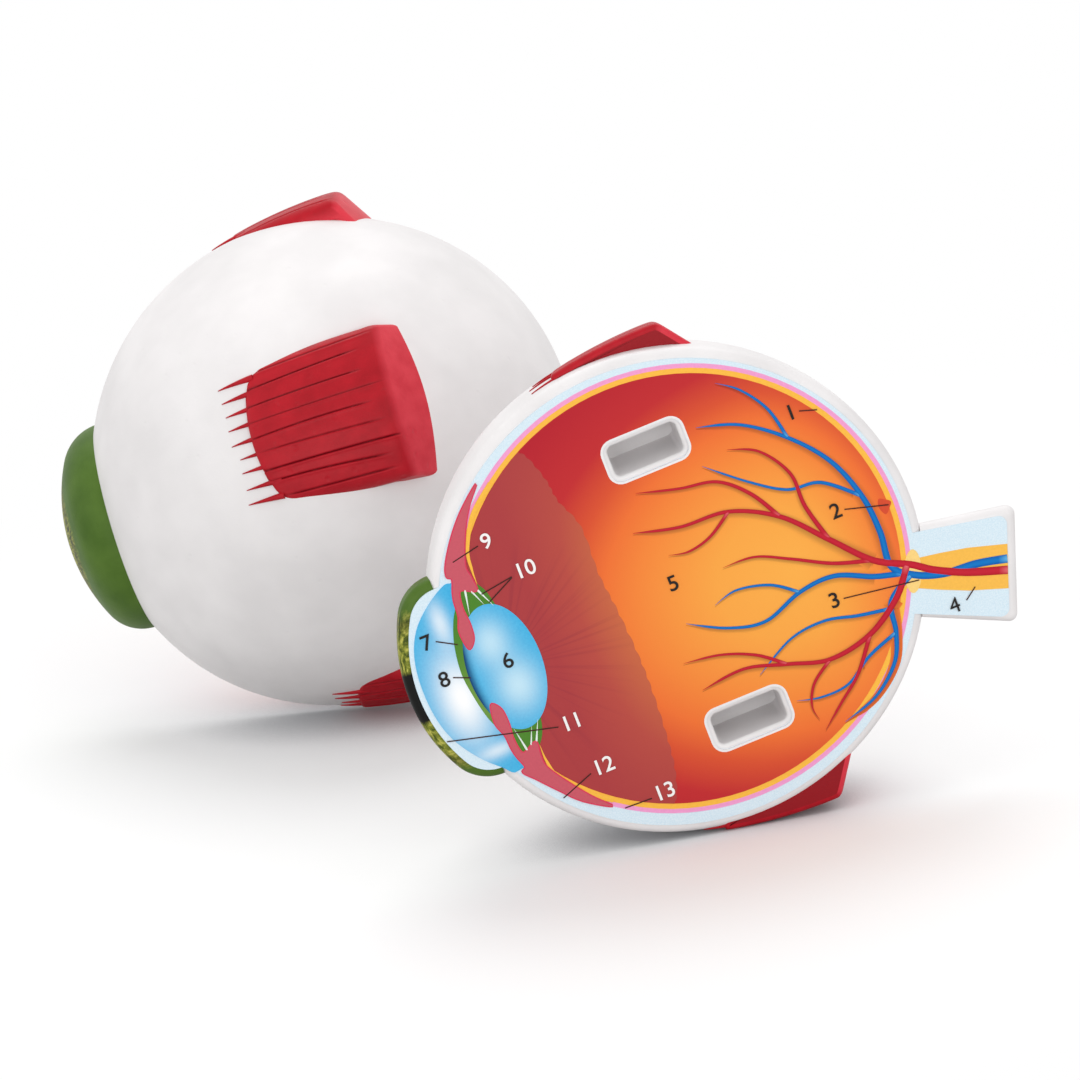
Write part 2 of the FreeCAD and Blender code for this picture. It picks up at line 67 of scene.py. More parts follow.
def half_place(face, outward, upward):
    """Matrix from the closed eye's millimetres to where the half stands."""
    out = Vector(mounts[face]["axis"]).normalized()
    centre = Vector(mounts[face]["pos_m"]) - out * SHEET * MM
    across = out * outward
    up = upward.normalized()
    up = (up - across * up.dot(across)).normalized()
    ahead = up.cross(across)
    turn = Matrix((ahead, up, across)).transposed().to_4x4()
    return Matrix.Translation(centre) @ turn @ Matrix.Scale(MM, 4)


socket_up = Vector(mounts["upper_socket"]["pos_m"]) - Vector(mounts["lower_socket"]["pos_m"])
peg_up = middle("upper_peg") - middle("lower_peg")
HALVES = (
    ("socket_half", 1, half_place("socket_half_face", -1, socket_up)),
    ("peg_half", -1, half_place("peg_half_face", 1, peg_up)),
)

# --------------------
# White foam globe, nerve stub and pegs
# Soft polyurethane foam with its own skin, moulded in one go: an off-white satin skin, faintly
# mottled, with a few pin-prick bubbles where air was caught against the mould.
def tone(red, green, blue):
    """Colour as mixed on a screen, 0 to 255, made linear."""
    def linear(part):
        part /= 255
        return part / 12.92 if part <= 0.04045 else ((part + 0.055) / 1.055) ** 2.4
    return (linear(red), linear(green), linear(blue), 1)


def add(tree, kind, inputs=None, **settings):
    """Node with its inputs set; an input is given a value or another node's output."""
    made = tree.nodes.new(kind)
    for setting, choice in settings.items():
        setattr(made, setting, choice)
    for key, given in (inputs or {}).items():
        if isinstance(given, bpy.types.NodeSocket):
            tree.links.new(given, made.inputs[key])
        else:
            made.inputs[key].default_value = given
    return made


def out_of(tree, kind, inputs=None, **settings):
    """First output of such a node."""
    return add(tree, kind, inputs, **settings).outputs[0]


def sum_of(tree, operation, *given, clamp=False):
    inputs = dict(enumerate(given))
    return out_of(tree, "ShaderNodeMath", inputs, operation=operation, use_clamp=clamp)


def ramp(tree, factor, stops, smooth=False):
    """Colour ramp; stops are (place, colour)."""
    made = add(tree, "ShaderNodeValToRGB", {0: factor})
    made.color_ramp.interpolation = "EASE" if smooth else "LINEAR"
    points = made.color_ramp.elements
    while len(points) < len(stops):
        points.new(1)
    for point, (place, colour) in zip(points, stops):
        point.position = place
        point.color = colour
    return made.outputs[0]


def blend(tree, factor, first, second, kind="MIX"):
    made = add(tree, "ShaderNodeMix", {0: factor, 6: first, 7: second},
               data_type="RGBA", blend_type=kind)
    return made.outputs[2]


def noise(tree, where, scale, detail=2.0, rough=0.5):
    made = add(tree, "ShaderNodeTexNoise",
               {"Vector": where, "Scale": scale, "Detail": detail, "Roughness": rough})
    return made.outputs["Fac"]


def times(tree, first, second, clamp=False):
    return sum_of(tree, "MULTIPLY", first, second, clamp=clamp)


def vector(tree, operation, *given):
    made = add(tree, "ShaderNodeVectorMath", dict(enumerate(given)), operation=operation)
    return made.outputs["Value" if operation == "LENGTH" else "Vector"]


def split(tree, given):
    return add(tree, "ShaderNodeSeparateXYZ", {0: given}).outputs


def joined(tree, *parts):
    return out_of(tree, "ShaderNodeCombineXYZ", dict(enumerate(parts)))


def paint(tree, shader, colour, height, depth):
    """A finish: its colour, and the relief of its skin in millimetres."""
    tree.links.new(colour, shader.inputs["Base Color"])
    relief = out_of(tree, "ShaderNodeBump", {"Height": height, "Distance": depth * MM})
    tree.links.new(relief, shader.inputs["Normal"])


def foam_skin(tree, place, grain, share, bubbles, steepness):
    """Relief of moulded foam: a fine grain, and pits where bubbles broke the skin."""
    cells = add(tree, "ShaderNodeTexVoronoi", {"Vector": place, "Scale": bubbles})
    pits = times(tree, cells.outputs["Distance"], steepness, clamp=True)
    return sum_of(tree, "ADD", times(tree, noise(tree, place, grain, 4, 0.6), share), pits)


def new_material(name, half, roughness, gloss):
    """Material that works in one half's own millimetres: (material, tree, shader, place)."""
    made = bpy.data.materials.new(f"{half[0]}_{name}")
    made.use_nodes = True
    tree = made.node_tree
    shader = tree.nodes["Principled BSDF"]
    shader.inputs["Roughness"].default_value = roughness
    shader.inputs["Specular IOR Level"].default_value = gloss
    shift, turn, size = half[2].inverted().decompose()
    objects = tree.nodes.new("ShaderNodeTexCoord").outputs["Object"]
    place = out_of(tree, "ShaderNodeMapping", {
        "Vector": objects, "Location": shift, "Rotation": turn.to_euler(), "Scale": size})
    return made, tree, shader, place


def dress(node, material):
    mesh = frame["nodes"][node].data
    mesh.materials.clear()
    mesh.materials.append(material)


FOAM_WHITE = tone(235, 232, 232)
FOAM_SHADE = tone(226, 223, 223)


def white_foam(half):
    made, tree, shader, place = new_material("white_foam", half, 0.52, 0.35)
    colour = ramp(tree, noise(tree, place, 0.05, 3), [(0.35, FOAM_SHADE), (0.65, FOAM_WHITE)])
    paint(tree, shader, colour, foam_skin(tree, place, 1.1, 0.35, 0.16, 9.0), 0.09)
    return made


foam = {half[0]: white_foam(half) for half in HALVES}
for half in HALVES:
    dress(f"{half[0]}_sclera", foam[half[0]])
    dress(f"{half[0]}_optic_nerve", foam[half[0]])
for peg in ("upper_peg", "lower_peg"):
    dress(peg, foam["peg_half"])

# --------------------
# Cornea and iris dome
# A cap of the same foam sprayed green. Its front carries the printed iris: olive and straw
# streaks that run in from a dark rim to the black pupil.
PUPIL = 6.4
IRIS_REACH = {"socket_half": 21.0, "peg_half": 17.6}
IRIS_SPAN = 30  # radius over which the iris's rings are set out


def length_of(tree, first, second):
    squares = [sum_of(tree, "POWER", part, 2) for part in (first, second)]
    return sum_of(tree, "SQRT", sum_of(tree, "ADD", *squares))


def fade(tree, value, start, stop, low=0.0, high=1.0):
    """Runs evenly from low to high while a value goes from start to stop."""
    return out_of(tree, "ShaderNodeMapRange",
                  {"Value": value, 1: start, 2: stop, 3: low, 4: high})


def green_foam(half):
    reach = IRIS_REACH[half[0]]
    made, tree, shader, place = new_material("green_foam", half, 0.5, 0.15)
    parts = split(tree, place)
    out = length_of(tree, parts[1], parts[2])
    turn = sum_of(tree, "ARCTAN2", parts[2], parts[1])
    side = ramp(tree, noise(tree, place, 0.12, 3),
                [(0.3, tone(66, 96, 30)), (0.7, tone(82, 112, 42))])
    spoke = joined(tree, times(tree, turn, 9), times(tree, out, 0.16))
    iris = ramp(tree, noise(tree, spoke, 2.4, 4, 0.65), [
        (0.3, tone(24, 30, 14)), (0.42, tone(72, 84, 26)), (0.52, tone(128, 134, 48)),
        (0.62, tone(196, 190, 92)), (0.72, tone(92, 106, 36))])
    pupil, rim = PUPIL / IRIS_SPAN, reach / IRIS_SPAN
    rings = ramp(tree, sum_of(tree, "DIVIDE", out, IRIS_SPAN), [
        (pupil - 0.01, (1, 1, 1, 1)), (pupil + 0.03, (0, 0, 0, 1)), (rim - 0.2, (0, 0, 0, 1)),
        (rim - 0.08, (0.5, 0.5, 0.5, 1)), (rim, (0.1, 0.1, 0.1, 1))])
    iris = blend(tree, rings, iris, tone(12, 12, 10))
    edge = sum_of(tree, "ADD", out, times(tree, noise(tree, place, 0.5, 3), 2.4))
    ahead = sum_of(tree, "SUBTRACT", parts[0], GLOBE + 0.5, clamp=True)
    painted = times(tree, fade(tree, edge, reach + 1.8, reach - 1.0), ahead)
    paint(tree, shader, blend(tree, painted, side, iris), noise(tree, place, 1.6, 4, 0.6), 0.05)
    return made


for half in HALVES:
    dress(f"{half[0]}_cornea_dome", green_foam(half))

# --------------------
# Straight muscles
# Loaf-shaped blocks of soft foam, cast in deep red and bonded to the globe. Creases moulded along
# the outer face mark the muscle's fibres, and painted shade darkens their colour. The end is
# smooth, with a few bubbles, and painted paler as painted light; a half muscle's flat cut face is
# painted darker as painted shade.
LIP_ANGLE, LIP_RISE = 80.5, 1.4
CREST_RISE = 6.6
SOCKET_UPPER_RISE = 5.7  # the socket half's upper muscle is a little flatter
CREST_ANGLE, FOOT_ANGLE = {"half": 106.5, "whole": 112.5}, {"half": 114.5, "whole": 123.0}
BOW = 120.0  # radius of the outer face along the muscle
DOME = 40.0  # and across it, at the crest
FRONT_HALF, BACK_HALF = 17.6, 19.3
SHOULDER = {"half": 1.7, "whole": 2.4}  # rounding of the long edges
END_SHOULDER = 1.1  # and of the same edges behind the crest
CORNER = 4.5
FRONT_SWEEP = 3.2  # degrees that the front edge falls back at its ends
CUT_BACK = {"upper": 4.6, "lower": 0.5}  # from the cut to the socket half's muscle faces
PEG_CUT_BACK = 1.9
CUT_EDGE = 1.5  # rounding along a half muscle's cut face
BURIED = 56.5  # radius inside the globe at which a muscle's block ends
CREASES = 9
COLUMNS = 170  # mesh columns in half a muscle's width
FRONT_ROWS, BOW_ROWS, BACK_ROWS = 8, 60, 24  # and its rows, from the front foot to the back


def on_globe(radius, angle):
    angle = math.radians(angle)
    return Vector((radius * math.cos(angle), radius * math.sin(angle)))


def arc(centre, reach, start, stop, steps):
    angles = [start + (stop - start) * step / steps for step in range(steps + 1)]
    return [centre + Vector((math.cos(angle), math.sin(angle))) * reach for angle in angles]


def muscle_profile(kind, rise):
    """Side view from the front foot over the crest to the back foot, in three stretches."""
    lip = on_globe(GLOBE + LIP_RISE, LIP_ANGLE)
    crest = on_globe(GLOBE + rise, CREST_ANGLE[kind])
    chord = crest - lip
    across = Vector((-chord.y, chord.x)).normalized()
    centre = (lip + crest) / 2 + across * math.sqrt(BOW ** 2 - (chord.length / 2) ** 2)
    start = math.atan2(lip.y - centre.y, lip.x - centre.x)
    stop = math.atan2(crest.y - centre.y, crest.x - centre.x)
    bow = arc(centre, BOW, start, stop, BOW_ROWS)
    front = on_globe(BURIED, LIP_ANGLE)
    foot = on_globe(GLOBE, FOOT_ANGLE[kind])
    back = crest + (foot - crest) * (1 + (GLOBE - BURIED) / (crest.length - GLOBE))
    ahead = [front.lerp(lip, step / FRONT_ROWS) for step in range(FRONT_ROWS)]
    behind = [crest.lerp(back, step / BACK_ROWS) for step in range(1, BACK_ROWS + 1)]
    return ahead, bow, behind


def held(value):
    """The value, kept between 0 and 1."""
    return min(1.0, max(0.0, value))


def soften(points, passes):
    """Rounds a line's corners by averaging each point with its neighbours."""
    for _ in range(passes):
        kept = list(points)
        for index in range(1, len(points) - 1):
            points[index] = (kept[index - 1] + kept[index] + kept[index + 1]) / 3
    return points


def rounding(radius, short):
    """How far a rounded edge has dropped where the flat before it is short by this much."""
    short = min(max(short, 0.0), radius)
    return radius - math.sqrt(radius ** 2 - short ** 2)


def crease_depth(cuts, wide, run):
    """Push-in of a point of the outer face; cuts are (place, depth, sway, start, reach)."""
    total = 0.0
    for cut, depth, sway, start, reach in cuts:
        off = wide * (1 - 0.12 * run) - cut - 0.35 * math.sin(run * sway + cut)
        shown = held((reach - run) / 0.12) * held((run - start) / 0.2)
        groove = math.exp(-(off / 0.2) ** 2) - 0.32 * math.exp(-((off + 0.5) / 0.34) ** 2)
        total += shown * depth * groove
    return total


def muscle_mesh(side, seed, rise=CREST_RISE, cut_back=0.0):
    """Points, faces and marks; side 0 is a whole muscle, +1 or -1 a half of one."""
    draw = random.Random(seed)
    kind = "half" if side else "whole"
    ahead, bow, behind = muscle_profile(kind, rise)
    line = soften(ahead + bow + behind, 4)
    first, last = len(ahead), len(ahead) + len(bow) - 1
    middle_y = on_globe(GLOBE + rise, CREST_ANGLE[kind]).y - DOME
    pitch = 2 * FRONT_HALF / CREASES
    cuts = []
    for index in range(CREASES):
        place = -FRONT_HALF + (index + 0.5 + draw.uniform(-0.26, 0.26)) * pitch
        cuts.append((place, draw.uniform(0.2, 0.36), draw.uniform(1.0, 3.6),
                     draw.uniform(-0.3, 0.02), draw.uniform(0.88, 1.08)))
    columns = COLUMNS if side else 2 * COLUMNS
    points, creases, ends, rows = [], [], [], []
    for index, spot in enumerate(line):
        along = (line[min(index + 1, len(line) - 1)] - line[max(index - 1, 0)]).normalized()
        outward = Vector((along.y, -along.x))
        run = held((index - first) / (last - first))
        behind_lip = (spot - line[first]).length if index > first else 0
        whole = (FRONT_HALF + (BACK_HALF - FRONT_HALF) * math.sin(run * math.pi / 2)
                 - rounding(CORNER, CORNER - behind_lip))
        on_face = held((index - first + 3) / 5) if index <= last else 0.0
        low = cut_back if side else -whole
        shoulder = SHOULDER[kind] + (END_SHOULDER - SHOULDER[kind]) * held((index - last + 6) / 8)
        row = []
        for column in range(columns + 1):
            wide = low + (whole - low) * column / columns
            to_edge = whole - abs(wide)
            drop = rounding(shoulder, shoulder - to_edge)
            if side:
                drop += rounding(CUT_EDGE, CUT_EDGE + cut_back - wide)
            crease = on_face * crease_depth(cuts, wide, run) * min(1, to_edge / 2.2)
            if side:
                crease *= held((wide - cut_back - 1.2) / 1.5)
            place = spot - outward * (drop + crease)
            high = place.y - middle_y
            lifted = Vector((place.x, middle_y + math.sqrt(high ** 2 - wide ** 2)))
            swept = math.radians(FRONT_SWEEP * (1 - run) ** 2 * (wide / FRONT_HALF) ** 2)
            lifted.rotate(Matrix.Rotation(swept, 2))
            row.append(len(points))
            points.append(Vector((*lifted, wide * (side or 1))))
            creases.append(max(crease, 0.0))
            ends.append(held((index - last + 1) / 4))
        rows.append(row)
    faces = []
    for near, far in zip(rows, rows[1:]):
        for column in range(columns):
            faces.append((near[column], near[column + 1], far[column + 1], far[column]))
    skin = len(faces)
    faces += [[row[0] for row in rows], [row[-1] for row in rows],
              [rows[0][0], rows[-1][0], rows[-1][-1], rows[0][-1]], rows[0], rows[-1]]
    cut = [0.0] * skin + [1.0 if side else 0.0] + [0.0] * 4
    return points, faces, {"crease": creases, "end": ends, "cut": cut}


def place_mesh(name, half, points, faces, material, turn=0.0, smooth=40, marks=None):
    """Closed mesh from the closed eye's millimetres, put in its place on a half."""
    mesh = bpy.data.meshes.new(name)
    mesh.from_pydata(points, [], faces)
    for label, values in (marks or {}).items():
        domain = "POINT" if len(values) == len(points) else "FACE"
        mesh.attributes.new(label, "FLOAT", domain).data.foreach_set("value", values)
    mesh.transform(Matrix.Rotation(math.radians(turn), 4, "X"))
    return settle(name, half, mesh, material, smooth)


def show(name, data):
    made = bpy.data.objects.new(name, data)
    bpy.context.collection.objects.link(made)
    return made


FLAT_FROM = 9  # a face with as many corners is a cut face and stays flat


def settle(name, half, mesh, material, smooth=40):
    """Piece of a half from a mesh in the closed eye's millimetres."""
    mesh.transform(half[2])
    shape = bmesh.new()
    shape.from_mesh(mesh)
    bmesh.ops.remove_doubles(shape, verts=shape.verts, dist=1e-7)
    bmesh.ops.recalc_face_normals(shape, faces=shape.faces)
    shape.to_mesh(mesh)
    shape.free()
    mesh.name = name
    mesh.shade_smooth()
    for face in mesh.polygons:
        face.use_smooth = len(face.vertices) < FLAT_FROM
    mesh.set_sharp_from_angle(angle=math.radians(smooth))
    mesh.materials.clear()
    mesh.materials.append(material)
    made = show(name, mesh)
    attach(made, half[0])
    return made


def mark(tree, name):
    """What a mesh says of itself in one of its own attributes."""
    return add(tree, "ShaderNodeAttribute", attribute_name=name).outputs["Fac"]


def red_foam(half):
    made, tree, shader, place = new_material("red_foam", half, 0.45, 0.2)
    cloud = noise(tree, place, 0.2, 4)
    cut = mark(tree, "cut")
    body = ramp(tree, cloud, [(0.3, tone(164, 12, 28)), (0.7, tone(182, 18, 34))])
    # painted light: the block's end face is given a paler copy of the same red
    pale = ramp(tree, cloud, [(0.3, tone(204, 42, 58)), (0.7, tone(218, 58, 72))])
    body = blend(tree, mark(tree, "end"), body, pale)
    # painted shade: a half muscle's flat cut face is given a darker copy of the same red
    body = blend(tree, cut, body, tone(146, 18, 28))
    # painted shade: the colour darkens in the moulded creases, on top of their real relief
    dark = times(tree, times(tree, mark(tree, "crease"), 3.4),
                 sum_of(tree, "SUBTRACT", 1.0, cut), clamp=True)
    paint(tree, shader, blend(tree, dark, body, tone(112, 6, 18)),
          foam_skin(tree, place, 1.2, 0.4, 0.22, 5.0), 0.16)
    return made


def seats(half):
    """A half's muscles: (position, degrees round the eye's axis, side of the cut or 0 if whole)."""
    return (("upper", 0, half[1]), ("lower", 180, -half[1]), ("side", 90 * half[1], 0))


red = {half[0]: red_foam(half) for half in HALVES}
for order, half in enumerate(HALVES):
    for spot, (position, turn, side) in enumerate(seats(half)):
        node = f"{half[0]}_{position}_rectus"
        rise = SOCKET_UPPER_RISE if node == "socket_half_upper_rectus" else CREST_RISE
        back = CUT_BACK.get(position, 0.0) if order == 0 else PEG_CUT_BACK
        points, faces, marks = muscle_mesh(side, 11 + 7 * order + spot, rise, back)
        muscle = place_mesh(f"{node}_foam", half, points, faces, red[half[0]], turn,
                            marks=marks)
        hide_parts(node)

# --------------------
# Tendon fibres
# Fine tapered strands of the same red foam, which run out from under each muscle's front lip and
# lie half sunk in the globe. A whole muscle has nine; the cut halves show four each.
FIBRE_STEP = 3.6  # degrees from one fibre to the next
FIBRES = 9
FIBRE_ROOT, FIBRE_TIP = 0.9, 0.1
FINE = {"socket_half_upper_tendon": 0.55}
LEFT_OFF = {"socket_half_upper_tendon": 1}  # fibres that the cut-back muscle wouldn't cover
FIBRE_START, FIBRE_END = 85.0, 76.0


def real_mesh(stand_in):
    """Plain mesh of an object as it is evaluated; the object itself goes."""
    graph = bpy.context.evaluated_depsgraph_get()
    made = bpy.data.meshes.new_from_object(stand_in.evaluated_get(graph), depsgraph=graph)
    bpy.data.objects.remove(stand_in)
    return made


class Tree:
    """Geometry Nodes tree with named inputs, and the mesh that it makes from a worker's mesh."""

    def __init__(self, name, inputs):
        self.tree = bpy.data.node_groups.new(name, "GeometryNodeTree")
        face = self.tree.interface
        face.new_socket("Geometry", in_out="INPUT", socket_type="NodeSocketGeometry")
        for label, kind in inputs:
            face.new_socket(label, in_out="INPUT", socket_type=f"NodeSocket{kind}")
        face.new_socket("Geometry", in_out="OUTPUT", socket_type="NodeSocketGeometry")
        self.inputs = self.tree.nodes.new("NodeGroupInput").outputs

    def close(self, geometry):
        """Ends the tree in Realize Instances and Set Material."""
        real = out_of(self.tree, "GeometryNodeRealizeInstances", {0: geometry})
        coated = out_of(self.tree, "GeometryNodeSetMaterial",
                        {"Geometry": real, "Material": self.inputs["Material"]})
        out = self.tree.nodes.new("NodeGroupOutput")
        self.tree.links.new(coated, out.inputs[0])

    def run(self, mesh, settings):
        """Plain mesh made by the tree from a worker's mesh."""
        worker = show("worker", mesh)
        modifier = worker.modifiers.new("tree", "NODES")
        modifier.node_group = self.tree
        names = {item.name: item.identifier for item in self.tree.interface.items_tree
                 if item.in_out == "INPUT"}
        for label, given in settings.items():
            modifier[names[label]] = given
        return real_mesh(worker)


def tendon_tree():
    made = Tree("tendon_fibres", [
        ("Count", "Int"), ("First", "Float"), ("Step", "Float"), ("Root", "Float"),
        ("Tip", "Float"), ("Seed", "Int"), ("Material", "Material")])
    tree, given = made.tree, made.inputs
    start, end = on_globe(GLOBE, FIBRE_START), on_globe(GLOBE + 0.1, FIBRE_END)
    between = on_globe(GLOBE + 0.35, (FIBRE_START + FIBRE_END) / 2)
    path = out_of(tree, "GeometryNodeCurveQuadraticBezier", {
        "Resolution": 14, "Start": (*start, 0), "Middle": (*between, 0.1), "End": (*end, 0)})
    along = tree.nodes.new("GeometryNodeSplineParameter").outputs["Factor"]
    size = fade(tree, along, 0.0, 1.0, given["Root"], given["Tip"])
    circle = out_of(tree, "GeometryNodeCurvePrimitiveCircle", {"Resolution": 10})
    strand = out_of(tree, "GeometryNodeCurveToMesh", {
        "Curve": path, "Profile Curve": circle, "Scale": size, "Fill Caps": True})
    line = out_of(tree, "GeometryNodeMeshLine", {"Count": given["Count"], "Offset": (0, 0, 0)})
    index = out_of(tree, "GeometryNodeInputIndex")
    jitter = out_of(tree, "FunctionNodeRandomValue", {
        0: (-0.006, -0.012, -0.012), 1: (0.006, 0.012, 0.012), "Seed": given["Seed"]},
        data_type="FLOAT_VECTOR")
    turn = sum_of(tree, "ADD", given["First"], times(tree, index, given["Step"]))
    lean = vector(tree, "ADD", joined(tree, turn), jitter)
    made.close(out_of(tree, "GeometryNodeInstanceOnPoints", {
        "Points": line, "Instance": strand, "Rotation": lean}))
    return made


tendons = tendon_tree()
for order, half in enumerate(HALVES):
    for spot, (position, turn, side) in enumerate(seats(half)):
        node = f"{half[0]}_{position}_tendon"
        step = math.radians(FIBRE_STEP)
        left_off = LEFT_OFF.get(node, 0)
        strands = tendons.run(bpy.data.meshes.new("fibres"), {
            "Count": FIBRES // 2 - left_off if side else FIBRES,
            "First": side * step * (0.5 + left_off) if side else -step * (FIBRES - 1) / 2,
            "Step": step * (side or 1), "Root": FIBRE_ROOT * FINE.get(node, 1), "Tip": FIBRE_TIP,
            "Seed": 5 + 3 * order + spot, "Material": red[half[0]]})
        strands.transform(Matrix.Rotation(math.radians(turn), 4, "X"))
        tendon = settle(f"{node}_fibres", half, strands, red[half[0]])
        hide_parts(node)

# --------------------
# Printed sheet
# A thin foam sheet, printed with the eye's section, is bonded to each cut face. Its ground is
# the pale blue of the sclera and the cornea, speckled by the print's screen.
INK = 0.03  # how much each colour stands above the last
INK_DEEP = 0.94  # darkest share of a flat colour in the sheet's grain
SOFT_GRAIN = (1.3, 3)


def printed(name, half, colour_of, grain=(1.7, 3), gloss=0.15, relief=0.02):
    """Printed finish; colour_of gives its colour from (tree, place, height of the grain)."""
    made, tree, shader, place = new_material(name, half, 0.45, gloss)
    height = noise(tree, place, *grain)
    paint(tree, shader, colour_of(tree, place, height), height, relief)
    return made


def plain_ink(name, half, colour):
    deep = tuple(part * INK_DEEP for part in colour[:3]) + (1,)
    return printed(name, half, lambda tree, place, height: ramp(
        tree, height, [(0.3, deep), (0.7, colour)]))


def speckle(tree, place, height):
    return ramp(tree, height, [(0.34, tone(207, 229, 241)), (0.5, tone(215, 233, 243)),
                               (0.66, tone(224, 239, 247))])


for half in HALVES:
    ground = printed("sclera_blue", half, speckle, (2.8, 3, 0.6), 0.2, 0.03)
    dress(f"{half[0]}_face_print", ground)

# --------------------
# Coats of the eyeball: choroid, retina and the vitreous inside them
# Rings of pink and yellow ink round a field that glows from orange near the back of the eye to
# dark red at its rim. The sockets and pegs have their own windows in every coat.
COAT_MIDDLE = (-1.0, 0.5)
COATS = {"choroid": 55.6, "retina": 54.5, "vitreous": 53.2}
WINDOW_X, WINDOW_Y = -5.0, 36.0
WINDOW_HALF = (9.95, 5.2)
WINDOW_CORNER = 2.8
WINDOW_EDGE = 0.6  # width of the white line printed round each window
GLOW_AT = (-28, -6)
GLOW_AHEAD, GLOW_BEHIND, GLOW_UP = 65, 34, 54  # how far the glow reaches, in millimetres


def ring(middle_x, middle_y, reach_x, reach_y, count=96):
    turns = [2 * math.pi * step / count for step in range(count)]
    return [(middle_x + reach_x * math.cos(t), middle_y + reach_y * math.sin(t)) for t in turns]


def window(sign, grown=0.0):
    """Rounded outline of one socket's window."""
    corner = WINDOW_CORNER + grown
    flat_x, flat_y = WINDOW_HALF[0] - WINDOW_CORNER, WINDOW_HALF[1] - WINDOW_CORNER
    points = []
    for quarter, (x, y) in enumerate(((flat_x, flat_y), (-flat_x, flat_y),
                                      (-flat_x, -flat_y), (flat_x, -flat_y))):
        for step in range(7):
            angle = math.pi / 2 * (quarter + step / 6)
            points.append((WINDOW_X + x + corner * math.cos(angle),
                           sign * WINDOW_Y + y + corner * math.sin(angle)))
    return points


def inked(name, half, loops, layer, material):
    """Thin closed film on the sheet; the first loop is the outside and the rest are windows."""
    rings = [[Vector((x, y, 0)) for x, y in loop] for loop in loops]
    flat = [point for loop in rings for point in loop]
    triangles = tessellate_polygon(rings)
    count = len(flat)
    high, low = (SHEET + INK * layer) * -half[1], (SHEET - INK) * -half[1]
    points = [Vector((p.x, p.y, high)) for p in flat] + [Vector((p.x, p.y, low)) for p in flat]
    faces = [tuple(t) for t in triangles] + [tuple(i + count for i in t) for t in triangles]
    start = 0
    for loop in rings:
        for index in range(len(loop)):
            one, two = start + index, start + (index + 1) % len(loop)
            faces.append((one, two, two + count, one + count))
        start += len(loop)
    return place_mesh(f"{half[0]}_{name}", half, points, faces, material, smooth=20)


def glow(tree, place, shade=1.0):
    """Colour of the vitreous: orange by the back of the eye, dark red towards the front."""
    parts = split(tree, place)
    east = sum_of(tree, "ADD", parts[0], -GLOW_AT[0])
    ahead = sum_of(tree, "DIVIDE", sum_of(tree, "MAXIMUM", east, 0), GLOW_AHEAD)
    behind = sum_of(tree, "DIVIDE", sum_of(tree, "MINIMUM", east, 0), GLOW_BEHIND)
    up = sum_of(tree, "DIVIDE", sum_of(tree, "ADD", parts[1], -GLOW_AT[1]), GLOW_UP)
    out = length_of(tree, sum_of(tree, "ADD", ahead, behind), up)
    stops = [(0.0, (249, 174, 74)), (0.24, (247, 165, 69)), (0.36, (245, 150, 63)),
             (0.48, (242, 133, 57)), (0.58, (237, 114, 52)), (0.68, (216, 82, 48)),
             (0.8, (192, 45, 48)), (1.0, (180, 33, 46))]
    colours = [(at, tone(*(part * shade for part in colour))) for at, colour in stops]
    return ramp(tree, sum_of(tree, "DIVIDE", out, 1.25), colours)


for half in HALVES:
    windows = [window(1), window(-1)]
    inks = (plain_ink("choroid_pink", half, tone(244, 160, 208)),
            plain_ink("retina_yellow", half, tone(252, 190, 72)),
            printed("vitreous", half, lambda tree, place, height: glow(tree, place), SOFT_GRAIN))
    for layer, (coat, ink) in enumerate(zip(COATS, inks), start=1):
        outside = ring(*COAT_MIDDLE, COATS[coat], COATS[coat])
        inked(coat, half, [outside] + windows, layer, ink)
    edge_white = plain_ink("window_white", half, tone(238, 236, 236))
    for name, sign in (("upper", 1), ("lower", -1)):
        edge = [window(sign, WINDOW_EDGE), window(sign)]
        inked(f"window_edge_{name}", half, edge, 4, edge_white)

# --------------------
# Ciliary zone
# Brownish-red field round the lens, printed over the vitreous. Its back edge is scalloped where
# the retina ends, and faint folds run in towards the lens.
ZONE_BACK = [(25.6, 48.2), (22.6, 46.4), (20.0, 38.8), (19.1, 32.7), (16.2, 24.4), (16.3, 11.7),
             (15.3, 1.8), (14.5, -10.5), (14.5, -20.3), (15.1, -31.7), (16.2, -40.8),
             (18.7, -48.1), (22.4, -49.8), (28.3, -47.3)]
SCALLOP, SCALLOPS = 0.4, 34  # depth and number of the back edge's waves
LENS_MIDDLE = (44.8, -0.7)
LENS_REACH = (9.0, 16.4)


def curve_through(points, steps=5, closed=True):
    """Smooth line through a few points."""
    count = len(points)
    places = [Vector(point) for point in points]
    out = []
    for index in range(count if closed else count - 1):
        near = [places[(index + k) % count if closed else min(max(index + k, 0), count - 1)]
                for k in (-1, 0, 1, 2)]
        a, b, c, d = near
        for step in range(steps):
            t = step / steps
            out.append(0.5 * (2 * b + (c - a) * t + (2 * a - 5 * b + 4 * c - d) * t ** 2
                              + (3 * b - a - 3 * c + d) * t ** 3))
    if not closed:
        out.append(places[-1])
    return [tuple(point) for point in out]


def zone_outline():
    """Scalloped back edge, closed by an arc of the vitreous round the front."""
    centre = Vector(COAT_MIDDLE)
    reach = COATS["vitreous"] - 0.1
    edge = []
    back = curve_through(ZONE_BACK, 16, closed=False)
    for index, spot in enumerate(back):
        wave = SCALLOP * abs(math.sin(math.pi * SCALLOPS * index / (len(back) - 1)))
        off = Vector(spot) - Vector((wave, 0)) - centre
        edge.append(centre + off.normalized() * min(off.length, reach))
    top, bottom = edge[0] - centre, edge[-1] - centre
    start, stop = math.atan2(bottom.y, bottom.x), math.atan2(top.y, top.x)
    return [tuple(spot) for spot in edge + arc(centre, reach, start, stop, 48)[1:-1]]


